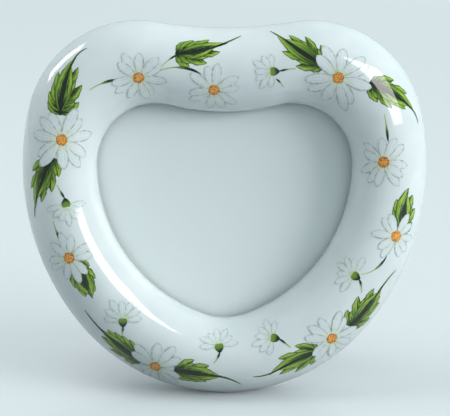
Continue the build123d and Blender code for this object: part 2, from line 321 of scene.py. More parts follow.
def mottled(name, noise, stops, strength=0.0, depth=0.0, **values):
    """A plain surface with shades in a fine mottle, and with a relief of a depth in millimetres"""
    made, tree, shader = new_material(name, **values)
    grain = add(tree, "TexNoise", {"Vector": add(tree, "TexCoord", out="Object"), **noise})
    wire(tree, shader, Base_Color=add(tree, "ValToRGB", [grain], stops=stops))
    if depth:
        relief = add(tree, "Bump", {"Height": grain, "Strength": strength, "Distance": depth * MM})
        wire(tree, shader, Normal=relief)
    return made


def unglazed_clay(name, pale, dark):
    """Bare fired clay: matt and slightly gritty"""
    grit = {"Scale": per(0.3), "Detail": 3.0}
    return mottled(name, grit, [(0.3, dark), (0.7, pale)], 0.4, 0.05, Roughness=0.85)


def painted_petal(garland, ring):
    """China paint fired in the glaze: the white of the ring inside a soft grey green line"""
    made, tree, shader, place, wave = glazed("painted_petal")
    _, along, _, aside = strip_sides(tree)
    brush = add(tree, "TexNoise", {"Vector": place, "Scale": per(1.4), "Detail": 2.0})
    wobble = add(tree, "Math", [brush, 0.24, -0.12], operation="MULTIPLY_ADD")
    edge_at = add(tree, "Math", [aside, wobble], operation="ADD")
    strokes = [(0.16, grey(0.0)), (0.34, grey(0.3)), (0.5, grey(0.0)), (0.68, grey(0.14)), (0.9, grey(1.0))]
    edge = add(tree, "ValToRGB", [edge_at], stops=strokes)
    tip = add(tree, "ValToRGB", [along], stops=[(0.9, grey(0.0)), (0.97, grey(0.9))])
    line = add(tree, "Math", [edge, tip], operation="MAXIMUM")
    faint = add(tree, "ValToRGB", [brush], stops=[(0.34, grey(0.25)), (0.66, grey(1.0))])
    line = add(tree, "Math", [line, faint], operation="MULTIPLY")
    base = add(tree, "ValToRGB", [along], stops=[(0.1, grey(0.8)), (0.5, grey(0.0))])
    base = add(tree, "Math", [base, faint], operation="MULTIPLY")
    white = white_glaze(ring, tree, wave)
    tinted = add(tree, "Mix", {0: base, 6: white, 7: garland.petal_base[:]}, out=2, data_type="RGBA")
    drawn = add(tree, "Mix", {0: line, 6: tinted, 7: garland.petal_line[:]}, out=2, data_type="RGBA")
    wire(tree, shader, Base_Color=drawn)
    return made


def painted_centre(garland):
    """Orange china paint stippled with brown, fired in the glaze"""
    made, tree, shader, place, _ = glazed("painted_centre")
    spot = add(tree, "TexCoord", out="UV")
    from_middle = add(tree, "VectorMath", [spot, (0.5, 0.5, 0.0)], out="Value", operation="DISTANCE")
    # the stipple is drawn at 0.5 mm, as coarse as it needs to show
    stipple = add(tree, "TexVoronoi", {"Vector": place, "Scale": per(0.5)}, out="Distance")
    oranges = [(0.1, colour("FACB70")), (0.42, garland.centre[:]), (0.8, colour("CC7A2E"))]
    body = add(tree, "ValToRGB", [stipple], stops=oranges)
    rim = add(tree, "Math", [stipple, 0.45, from_middle], operation="MULTIPLY_ADD")
    rim = add(tree, "ValToRGB", [rim], stops=[(0.5, grey(0.0)), (0.7, grey(0.7))])
    drawn = add(tree, "Mix", {0: rim, 6: body, 7: garland.centre_dark[:]}, out=2, data_type="RGBA")
    wire(tree, shader, Base_Color=drawn)
    return made


def painted_leaf(garland):
    """Green china paint in single brush strokes: dark at the root and by the leaf's line, lime outside"""
    made, tree, shader, place, _ = glazed("painted_leaf")
    spot, along, across, _ = strip_sides(tree)
    # the brush's hairs run along each stroke, and the slow drift makes every stroke another one
    drift = add(tree, "VectorMath", {0: place, "Scale": per(10)}, operation="SCALE")
    hairs = add(tree, "VectorMath", [spot, (2.0, 9.0, 0.0), drift], operation="MULTIPLY_ADD")
    brush = add(tree, "TexNoise", {"Vector": hairs, "Scale": 1.0, "Detail": 3.0, "Roughness": 0.65})
    wobble = add(tree, "Math", [brush, 1.0, -0.5], operation="MULTIPLY_ADD")
    shade_at = add(tree, "Math", [along, 0.5], operation="MULTIPLY")
    shade_at = add(tree, "Math", [across, 0.62, shade_at], operation="MULTIPLY_ADD")
    shade_at = add(tree, "Math", [wobble, 1.3, shade_at], operation="MULTIPLY_ADD")
    dark, leaf = garland.leaf_dark[:], garland.leaf[:]
    limes = [(0.86, colour("AFCF52")), (1.0, colour("7FA636"))]
    greens = [(0.4, dark), (0.54, colour("34501A")), (0.68, leaf), *limes]
    green = add(tree, "ValToRGB", [shade_at], stops=greens)
    edge = add(tree, "Math", [wobble, 0.5, across], operation="MULTIPLY_ADD")
    edge = add(tree, "ValToRGB", [edge], stops=[(0.8, grey(0.0)), (0.98, grey(0.9))])
    tip = add(tree, "ValToRGB", [along], stops=[(0.9, grey(0.0)), (0.98, grey(0.8))])
    rim = add(tree, "Math", [edge, tip], operation="MAXIMUM")
    drawn = add(tree, "Mix", {0: rim, 6: green, 7: dark}, out=2, data_type="RGBA")
    wire(tree, shader, Base_Color=drawn)
    return made


def painted_line(garland):
    """The last stroke on a leaf: near black through its body, half green where it runs on as the tail"""
    made, tree, shader, _, _ = glazed("painted_line")
    _, along, across, _ = strip_sides(tree)
    tail = add(tree, "ValToRGB", [along], stops=[(0.7, grey(0.0)), (0.8, grey(0.9))])
    side = add(tree, "ValToRGB", [across], stops=[(0.4, grey(0.0)), (0.6, grey(1.0))])
    green = add(tree, "Math", [tail, side], operation="MULTIPLY")
    drawn = add(tree, "Mix", {0: green, 6: garland.leaf_dark[:], 7: garland.leaf[:]}, out=2, data_type="RGBA")
    wire(tree, shader, Base_Color=drawn)
    return made


def painted_green(name, start, middle, end):
    """China paint that darkens along each stroke: the stems and the cups of the buds"""
    made, tree, shader, place, _ = glazed(name)
    _, along, _, aside = strip_sides(tree)
    brush = add(tree, "TexNoise", {"Vector": place, "Scale": per(1.2), "Detail": 2.0})
    shade_at = add(tree, "Math", [brush, 0.3, along], operation="MULTIPLY_ADD")
    shade_at = add(tree, "Math", [aside, 0.12, shade_at], operation="MULTIPLY_ADD")
    greens = [(0.2, start), (0.62, middle), (0.84, colour("33421F")), (1.0, end)]
    wire(tree, shader, Base_Color=add(tree, "ValToRGB", [shade_at], stops=greens))
    return made


def clear_lens(settings):
    """Float glass with a polished face: clear, faintly green and letting the light through to the insert"""
    clear = {"Transmission_Weight": 1.0, "Roughness": 0.0, "IOR": GLASS_IOR}
    made, tree, _ = new_material("float_glass", Base_Color=settings.lens[:], **clear)
    through = add(tree, "BsdfTransparent", {"Color": settings.lens[:]})
    rays = add(tree, "LightPath").node.outputs
    glass = tree.nodes["Principled BSDF"].outputs[0]
    lamps_through = add(tree, "MixShader", [rays["Is Shadow Ray"], glass, through])
    all_through = add(tree, "MixShader", [rays["Is Diffuse Ray"], lamps_through, through])
    tree.links.new(all_through, tree.nodes["Material Output"].inputs["Surface"])
    return made


def wove_card(settings):
    """Smooth white card: matt, with a fine felt mark"""
    felt = {"Scale": per(0.35), "Detail": 4.0}
    shades = [(0.25, settings.card_shade[:]), (0.6, settings.card[:])]
    return mottled("wove_card", felt, shades, 0.2, 0.02, Roughness=0.62, Specular_IOR_Level=0.35)


def fibre_board(name, pale, dark):
    """Pressed fibre board: matt, flecked with darker fibres"""
    fibre = {"Scale": per(0.5), "Detail": 5.0, "Roughness": 0.7}
    return mottled(name, fibre, [(0.3, dark), (0.62, pale)], 0.5, 0.08, Roughness=0.78)


def flock_velvet(settings):
    """Short pile velvet: deep blue black that lights up at a slant, brushed unevenly by hands"""
    made, tree, shader = new_material(
        "short_pile_velvet", Roughness=0.95, Sheen_Weight=0.7, Sheen_Roughness=0.35, Specular_IOR_Level=0.15
    )
    place = add(tree, "TexCoord", out="Object")
    nap = add(tree, "TexNoise", {"Vector": place, "Scale": per(14), "Detail": 2.0, "Distortion": 0.6})
    # the pile's tufts are about 0.25 mm, and are drawn at 0.4 mm so that they show
    pile = add(tree, "TexNoise", {"Vector": place, "Scale": per(0.4), "Detail": 3.0, "Roughness": 0.75})
    blend = add(tree, "Math", [pile, 0.5, nap], operation="MULTIPLY_ADD")
    shade = add(tree, "ValToRGB", [blend], stops=[(0.55, colour("0E1119")), (1.0, settings.velvet[:])])
    relief = add(tree, "Bump", {"Height": pile, "Strength": 0.7, "Distance": 0.15 * MM})
    wire(tree, shader, Base_Color=shade, Normal=relief)
    return made


def plated_steel(settings):
    """Zinc plated sheet steel: bright grey with fine draw marks and a bluish cast"""
    made, tree, shader = new_material("zinc_plated_steel", Metallic=1.0)
    place = add(tree, "TexCoord", out="Object")
    drawn = add(tree, "Mapping", {"Vector": place, "Scale": (per(9), per(0.12), per(0.12))})
    marks = add(tree, "TexNoise", {"Vector": drawn, "Scale": 1.0, "Detail": 2.0})
    cloud = add(tree, "TexNoise", {"Vector": place, "Scale": per(3), "Detail": 2.0})
    shade = add(tree, "ValToRGB", [cloud], stops=[(0.3, colour("9FA4A8")), (0.65, settings.steel[:])])
    rough = add(tree, "ValToRGB", [marks], stops=[(0.3, grey(0.26)), (0.7, grey(0.42))])
    relief = add(tree, "Bump", {"Height": marks, "Strength": 0.25, "Distance": 0.02 * MM})
    wire(tree, shader, Base_Color=shade, Roughness=rough, Normal=relief)
    return made


def rolled_brass(settings):
    """Rolled and tumbled brass: warm, softly polished, with a little brown tarnish"""
    made, tree, shader = new_material("rolled_brass", Metallic=1.0)
    place = add(tree, "TexCoord", out="Object")
    tarnish = add(tree, "TexNoise", {"Vector": place, "Scale": per(2.5), "Detail": 4.0, "Roughness": 0.65})
    shade = add(tree, "ValToRGB", [tarnish], stops=[(0.3, colour("A27C3A")), (0.6, settings.brass[:])])
    rough = add(tree, "ValToRGB", [tarnish], stops=[(0.35, grey(0.4)), (0.65, grey(0.22))])
    scuff = add(tree, "TexNoise", {"Vector": place, "Scale": per(0.25), "Detail": 2.0})
    relief = add(tree, "Bump", {"Height": scuff, "Strength": 0.2, "Distance": 0.02 * MM})
    wire(tree, shader, Base_Color=shade, Roughness=rough, Normal=relief)
    return made


def moulded_nylon(settings):
    """Injection moulded natural nylon: ivory, soft sheen, slightly cloudy"""
    cloud = {"Scale": per(1.5), "Detail": 2.0}
    shades = [(0.3, colour("CCC8B9")), (0.7, settings.nylon[:])]
    sheen = {"Roughness": 0.48, "Subsurface_Weight": 0.15, "Subsurface_Scale": MM}
    return mottled("moulded_nylon", cloud, shades, **sheen)


def seen_by(tree):
    """One for the eye, for mirrors and through glass, and nothing where light only bounces"""
    rays = add(tree, "LightPath").node.outputs
    seen = add(tree, "Math", [rays["Is Camera Ray"], rays["Is Glossy Ray"]], operation="MAXIMUM")
    return add(tree, "Math", [seen, rays["Is Transmission Ray"]], operation="MAXIMUM")


def matt_floor(settings):
    """Plain matt paper: pale for the eye and for mirrors and glass, darker where it only reflects light"""
    made, tree, shader = new_material("matt_floor", Roughness=0.95, Specular_IOR_Level=0.1)
    seen = seen_by(tree)
    pale = settings.floor[:]
    tone = add(tree, "Mix", {0: seen, 6: settings.floor_bounce[:], 7: pale}, out=2, data_type="RGBA")
    glow = add(tree, "Math", [seen, settings.floor_lift], operation="MULTIPLY")
    wire(tree, shader, Base_Color=tone, Emission_Color=pale, Emission_Strength=glow)
    return made


def deselect():
    bpy.ops.object.select_all(action="DESELECT")


def choose(*pieces):
    """Selects pieces alone, with the first of them active"""
    deselect()
    for piece in pieces:
        piece.select_set(True)
    bpy.context.view_layer.objects.active = pieces[0]


def start(name, primitive, **values):
    """Adds a primitive by itself, selected, under its own name"""
    deselect()
    primitive(**values)
    piece = bpy.context.active_object
    piece.name = name
    piece.data.name = name
    return piece


def edit(piece, *steps):
    """Runs edit mode operators on all of a piece"""
    choose(piece)
    bpy.ops.object.mode_set(mode="EDIT")
    bpy.ops.mesh.select_all(action="SELECT")
    for operator, values in steps:
        operator(**values)
    bpy.ops.object.mode_set(mode="OBJECT")


def apply(piece, kind, **values):
    """Adds a modifier with its settings and applies it"""
    choose(piece)
    modifier = piece.modifiers.new(kind.lower(), kind)
    for name, value in values.items():
        setattr(modifier, name, value)
    bpy.ops.object.modifier_apply(modifier=modifier.name)


def joined(name, pieces):
    """Joins pieces to one under a name"""
    choose(*pieces)
    bpy.ops.object.join()
    whole = bpy.context.active_object
    whole.name = name
    whole.data.name = name
    return whole


def cover(piece, *materials):
    piece.data.materials.clear()
    for made in materials:
        piece.data.materials.append(made)


def smooth(piece, degrees):
    """Smooths a piece's shading except over edges sharper than an angle"""
    choose(piece)
    bpy.ops.object.shade_smooth_by_angle(angle=radians(degrees))


def place(piece, matrix):
    """Moves a drawn piece to where it stands, with its place in its mesh"""
    piece.matrix_world = matrix
    choose(piece)
    bpy.ops.object.transform_apply(location=True, rotation=True, scale=True)


def dress(material, *names):
    """Gives CAD nodes their material"""
    for name in names:
        for slot in NODES[name].material_slots:
            slot.link = "OBJECT"
            slot.material = material


# Stations of the ring's section: a heart, its depth, and whether its clay is bare. They go up the
# rolled edge, over the front, down the lip and through the rebate to the flat back
Station = namedtuple("Station", "heart y bare")
ROLL_STEPS = 12
ROUND_STEPS = 4
BACK_STEPS = 8
HOLE_SIDES = 40
# In degrees: the shading breaks over sharper edges
RING_CREASE = 35
# Faces of the foot look down by at least this share, and lie within this of the floor in metres
FOOT_FLAT = 0.999
FOOT_SLACK = 0.1 * MM


def quarter(steps):
    """Angles from nothing to a quarter turn"""
    return [step / steps * pi / 2 for step in range(steps + 1)]


def ring_section(dome_steps):
    """The stations, with dome_steps faces across the front"""
    section = []
    for turn in quarter(ROLL_STEPS)[:-1]:
        heart = grown(OUTER, -ROLL_INSET * (1 - sin(turn)))
        section.append(Station(heart, -RING_BASE * (1 - cos(turn)), False))
    for step in range(dome_steps + 1):
        turn = pi * step / dome_steps
        heart = between(OUTER, SIGHT, (1 - cos(turn)) / 2)
        section.append(Station(heart, -RING_BASE - DOME_HEIGHT * sin(turn), False))
    for turn in quarter(ROUND_STEPS):
        heart = grown(SIGHT, LIP_ROUND * (1 - cos(turn)))
        section.append(Station(heart, -REBATE_DEPTH - LIP_ROUND * (1 - sin(turn)), True))
    section.append(Station(REBATE, -REBATE_DEPTH, True))
    for turn in quarter(ROUND_STEPS):
        heart = grown(REBATE, MOUTH_ROUND * (1 - cos(turn)))
        section.append(Station(heart, -MOUTH_ROUND * (1 - sin(turn)), True))
    mouth, rim = grown(REBATE, MOUTH_ROUND), grown(OUTER, -ROLL_INSET)
    for step in range(1, BACK_STEPS):
        section.append(Station(between(mouth, rim, step / BACK_STEPS), 0, False))
    return section


class HEARTFRAME_OT_ring(bpy.types.Operator):
    """Model the glazed porcelain ring with its domed front, lip, rebate, holes and ground foot"""

    bl_idname = "heartframe.ring"
    bl_label = "Porcelain Ring"

    def execute(self, context):
        settings = context.scene.heart_ring
        section = ring_section(settings.dome_steps)
        steps = steps_along(between(OUTER, SIGHT, 0.5), settings.spacing)
        rings = [outline(station.heart, steps) for station in section]
        ring = start(
            "porcelain_ring",
            bpy.ops.mesh.primitive_torus_add,
            major_segments=len(rings[0]),
            minor_segments=len(section),
        )
        # the torus lists its vertices section by section
        for index, vertex in enumerate(ring.data.vertices):
            along, across = divmod(index, len(section))
            x, z = rings[across][along]
            vertex.co = (x, section[across].y, z)
        clay = [
            glazed_porcelain(settings),
            unglazed_clay("ground_biscuit", settings.biscuit[:], colour("C4BBAB")),
            # the lip and the rebate are bare clay, darkened with painted shade
            unglazed_clay("dusty_rebate_clay", settings.rebate[:], colour("4E4C47")),
        ]
        cover(ring, *clay)
        # the faces of the lip and the rebate take the darkened clay: a painted shade line where the lip meets
        # the lens
        for face in ring.data.polygons:
            if all(section[corner % len(section)].bare for corner in face.vertices):
                face.material_index = 2
        edit(ring, (bpy.ops.mesh.normals_make_consistent, {"inside": False}))

        vent_z = (REBATE.tip_z - REBATE.tip_r + OUTER.tip_z - OUTER.tip_r + ROLL_INSET) / 2
        holes = [(spot.x, spot.z, ANCHOR_RADIUS) for spot in BUTTON_SPOTS] + [(0, vent_z, VENT_RADIUS)]
        through = {"vertices": HOLE_SIDES, "depth": 2 * HOLE_DEPTH, "rotation": (pi / 2, 0, 0)}
        cutters = []
        for x, z, radius in holes:
            turned = {"radius": radius, "location": (x, 0, z), **through}
            cutters.append(start("hole", bpy.ops.mesh.primitive_cylinder_add, **turned))
        cutter = joined("holes", cutters)
        apply(ring, "BOOLEAN", object=cutter, operation="DIFFERENCE", solver="EXACT")
        bpy.data.objects.remove(cutter)

        place(ring, STAND)
        cut = {"plane_co": (0, 0, 0), "plane_no": (0, 0, 1), "clear_inner": True, "use_fill": True}
        edit(ring, (bpy.ops.mesh.bisect, cut))
        for face in ring.data.polygons:
            if face.normal.z < -FOOT_FLAT and abs(face.center.z) < FOOT_SLACK:
                face.material_index = 1
        smooth(ring, RING_CREASE)
        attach(ring, "frame")
        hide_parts("porcelain_frame")
        return {"FINISHED"}


class HEARTFRAME_OT_lens(bpy.types.Operator):
    """Finish the clear lens, the insert card and the layers behind it"""

    bl_idname = "heartframe.lens"
    bl_label = "Lens and Insert"

    def execute(self, context):
        settings = context.scene.heart_ring
        dress(clear_lens(settings), "lens")
        dress(wove_card(settings), "insert_card")
        dress(fibre_board("grey_board", colour("9C8F7C"), colour("7E7261")), "filler_card")
        return {"FINISHED"}


# The garland, as it is seen from the camera against the plane of the ring's widest outline:
# millimetres across and up from the heart's middle, sizes along the glaze, and degrees from the right
Daisy = namedtuple("Daisy", "across up reach petals turn")
Leaf = namedtuple("Leaf", "across up heading length half_width bend tail curl spread")
Bud = namedtuple("Bud", "across up heading reach petals stalk stalk_turn stalk_bend")
Stem = namedtuple("Stem", "across up heading length half_width bend")
Blade = namedtuple("Blade", "start swing reach half bend")

DAISIES = [
    Daisy(-56.4, 22.6, 11.3, 11, 8),
    Daisy(-29.7, 44.1, 9.6, 11, 20),
    Daisy(-3.6, 39.9, 9.6, 10, 2),
    Daisy(39.4, 44.1, 11.6, 11, 12),
    Daisy(55.2, 14.9, 9.3, 11, 0),
    Daisy(59.6, -10.8, 8.6, 10, 25),
    Daisy(37.4, -46.5, 9.8, 11, 15),
    Daisy(-54.0, -18.4, 9.0, 10, 5),
    Daisy(-24.1, -56.3, 10.4, 10, 18),
]
LEAVES = [
    Leaf(-56.9, 31.2, 86, 19.4, 7.0, -14, 6.5, -50, 1.25),
    Leaf(-59.5, 16.8, -119, 17.8, 6.8, 8, 5.0, 15, 1.1),
    Leaf(-17.0, 52.6, -2, 16.5, 6.4, 28, 7.5, 8, 1.2),
    Leaf(34.9, 47.9, 148, 18.7, 6.2, -8, 5.0, -6, 1.1),
    Leaf(50.0, 42.3, -22, 17.4, 7.0, -8, 6.5, -40, 1.05),
    Leaf(61.4, -8.6, 86, 14.0, 8.4, -6, 0, 0, 1.5),
    Leaf(44.0, -42.4, 50, 17.0, 7.2, 2, 8.0, -20, 1.4),
    Leaf(33.8, -50.3, -163, 18.5, 6.0, 12, 7.0, -35, 1.1),
    Leaf(-52.0, -20.9, -64, 13.0, 8.4, 4, 0, 0, 1.5),
    Leaf(-28.8, -54.5, 150, 18.5, 6.2, -12, 8.0, -10, 1.15),
    Leaf(-17.6, -57.6, -4, 15.5, 6.8, -4, 9.0, -40, 1.25),
]
BUDS = [
    Bud(-54.9, -0.2, -80, 7.2, 7, 5.6, 20, 0),
    Bud(16.4, 46.3, 180, 7.4, 7, 6.0, 18, -16),
    Bud(44.9, -24.3, 145, 7.6, 7, 5.0, -28, -26),
    Bud(16.7, -46.3, 172, 7.6, 7, 5.0, -25, -8),
    Bud(-35.4, -40.0, 92, 8.2, 7, 3.6, -6, -10),
    Bud(-1.9, -48.9, 98, 7.4, 7, 4.6, -20, -30),
]
STEMS = [
    Stem(-46.7, 39.9, 34, 10.4, 0.5, -26),
    Stem(-23.8, 45.8, 32, 16.4, 0.5, -62),
    Stem(55.4, 31.7, -80, 9.8, 0.46, -4),
    Stem(-59.5, -5.6, -76, 7.4, 0.5, 14),
    Stem(47.6, -24.1, 4, 11.5, 0.42, 58),
    Stem(20.6, 40.8, 118, 4.6, 0.34, 14),
    Stem(-21.5, 48.2, 48, 6.8, 0.36, -22),
]
# A leaf's strokes come in pairs: where on its body each pair starts, how far it swings out in
# degrees, its length, its half width, and how much of its swing it bends back. Places and lengths
# are shares of the body's length, and half widths are shares of the leaf's own
PAIRS = [
    Blade(0.02, 52, 0.36, 0.26, 0.5),
    Blade(0.09, 46, 0.42, 0.26, 0.55),
    Blade(0.20, 39, 0.46, 0.26, 0.6),
    Blade(0.32, 32, 0.47, 0.25, 0.7),
    Blade(0.46, 25, 0.42, 0.22, 0.9),
    Blade(0.05, 15, 0.97, 0.25, 2.0),
]
# Sizes of the strokes in millimetres
LINE_HALF = 0.38
STALK_HALF = 0.36
LEAST_HALF = 0.05
CENTRE_RADIUS = 1.95
CUP_LENGTH = 3.1
CUP_HALF = 1.5
CUP_AHEAD = 0.5
STALK_OVERLAP = 0.3
# Shares of a flower's reach
PETAL_LENGTH_SHARE = 1.06
PETAL_HALF_SHARE = 0.175
BUD_PETAL_HALF_SHARE = 0.16
# How uneven the strokes are, as shares of their own length
UNEVEN_PETAL = 0.08
UNEVEN_BUD_PETAL = 0.12
UNEVEN_BLADE = 0.12
# In degrees: how far a petal swings and bends, and from a bud's heading to its outermost petals
PETAL_SWING = 6
BUD_SPREAD = 88
# How finely the daisies' centres are drawn
DAB_SIDES = 28
DAB_CUTS = 3


def straight(share):
    """No turn along a stroke"""
    return 0


def petal_half(share):
    """Half width of a petal at a share of its length: narrow at its foot and round at its tip"""
    return max(sin(pi * share**1.5), 0) ** 0.6


def blade_half(share):
    """Half width of one brush stroke: pointed at both ends, with a slightly uneven edge"""
    return max(sin(pi * share**0.85), 0) ** 0.85 * (1 + 0.07 * sin(23 * share))


def line_half(share):
    """Half width of the dark line through a leaf, which runs on past its tip as a tail"""
    return (1.2 - 0.5 * share) * sqrt(max(1 - share**12, 0))


def cup_half(share):
    """Half width of a bud's cup, which swells below its mouth and narrows to its root"""
    return sin(pi * (0.28 + 0.66 * share))


def stem_half(share):
    """Half width of a stem: a thin stroke that ends in a wider dab of the brush"""
    return 0.4 + 0.6 * sin(pi * max((share - 0.4) / 0.6, 0)) - 0.3 * share**8


# The kinds of strokes, coat by coat: faces along and across them, the shape of their half width, and
# how far they lie above the glaze in millimetres, so that a later coat covers an earlier one
Kind = namedtuple("Kind", "name steps rows half lift")
STEM = Kind("stem", 18, 2, stem_half, 0.02)
BLADE = Kind("blade", 18, 4, blade_half, 0.02)
STALK = Kind("stalk", 14, 2, stem_half, 0.06)
LINE = Kind("line", 50, 2, line_half, 0.1)
PETAL = Kind("petal", 18, 4, petal_half, 0.12)
BUD_PETAL = Kind("petal", 14, 4, petal_half, 0.12)
CUP = Kind("cup", 10, 4, cup_half, 0.15)
CENTRE_LIFT = 0.17
PAINT_THICKNESS = 0.05
# How much a stroke rises above its neighbour in the same coat
STROKE_LIFT = 0.012


class GlazedSkin:
    """The ring's skin, and paint laid on it"""

    def __init__(self, ring, eye):
        self.ring = ring
        self.eye = eye

    def seen_at(self, across, up):
        """Where the camera sees a place on the outline's plane, and the skin's normal there"""
        aim = STAND @ Vector((across, -RING_BASE, up)) - self.eye
        _, spot, normal, _ = self.ring.ray_cast(self.eye, aim.normalized())
        return spot, normal

    def towards(self, normal, degrees):
        """A direction along the skin, from an angle in the front view"""
        angle = radians(degrees)
        aim = STAND.to_3x3() @ Vector((cos(angle), 0, sin(angle)))
        return (aim - normal * aim.dot(normal)).normalized()

    def walk(self, kind, spot, normal, forward, reach, turns=straight):
        """Places along the skin from a spot, with the direction and the normal at each"""
        path = []
        for step in range(kind.steps + 1):
            path.append((spot, forward, normal))
            turn = Quaternion(normal, radians(turns(step / kind.steps)) / kind.steps)
            forward = (turn @ forward).normalized()
            _, spot, normal, _ = self.ring.closest_point_on_mesh(spot + forward * (reach * MM / kind.steps))
            forward = (forward - normal * forward.dot(normal)).normalized()
        return path

    def lay(self, kind, path, width, order=0, turned=False):
        """A stroke of paint: a grid along a path, with its edges a half width to either side of it"""
        faces = {"x_subdivisions": kind.steps, "y_subdivisions": kind.rows}
        stroke = start(kind.name, bpy.ops.mesh.primitive_grid_add, size=2, **faces)
        lift = kind.lift + STROKE_LIFT * order
        for vertex in stroke.data.vertices:
            share = (vertex.co.x + 1) / 2
            aside = vertex.co.y
            spot, forward, normal = path[round(share * kind.steps)]
            wide = max(width * kind.half(share), LEAST_HALF)
            spot = spot + normal.cross(forward) * aside * wide * MM
            _, near, facing, _ = self.ring.closest_point_on_mesh(spot)
            vertex.co = near + facing * lift * MM
        if turned:
            for corner in stroke.data.uv_layers.active.data:
                corner.uv.y = 1 - corner.uv.y
        return stroke

    def dab(self, spot, normal):
        """A round dab of paint, a little uneven at its rim"""
        dab = start("dab", bpy.ops.mesh.primitive_circle_add, vertices=DAB_SIDES, fill_type="TRIFAN")
        edit(dab, (bpy.ops.mesh.subdivide, {"number_cuts": DAB_CUTS}))
        ahead = self.towards(normal, 0)
        aside = normal.cross(ahead)
        for vertex in dab.data.vertices:
            around = atan2(vertex.co.y, vertex.co.x)
            uneven = 1 + 0.04 * sin(5 * around + 1000 * spot.x) + 0.03 * sin(8 * around + 700 * spot.z)
            out = (ahead * vertex.co.x + aside * vertex.co.y) * CENTRE_RADIUS * uneven * MM
            _, near, facing, _ = self.ring.closest_point_on_mesh(spot + out)
            vertex.co = near + facing * CENTRE_LIFT * MM
        return dab


def finish_paint(name, strokes, ring, material):
    """Joins strokes of paint, gives them a thickness and lends them the shading of the glaze below"""
    paint = joined(name, strokes)
    cover(paint, material)
    for face in paint.data.polygons:
        face.use_smooth = True
    apply(paint, "SOLIDIFY", thickness=PAINT_THICKNESS * MM, offset=-1)
    shading = {"data_types_loops": {"CUSTOM_NORMAL"}, "loop_mapping": "POLYINTERP_NEAREST"}
    apply(paint, "DATA_TRANSFER", object=ring, use_loop_data=True, **shading)
    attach(paint, "frame")
    return paint


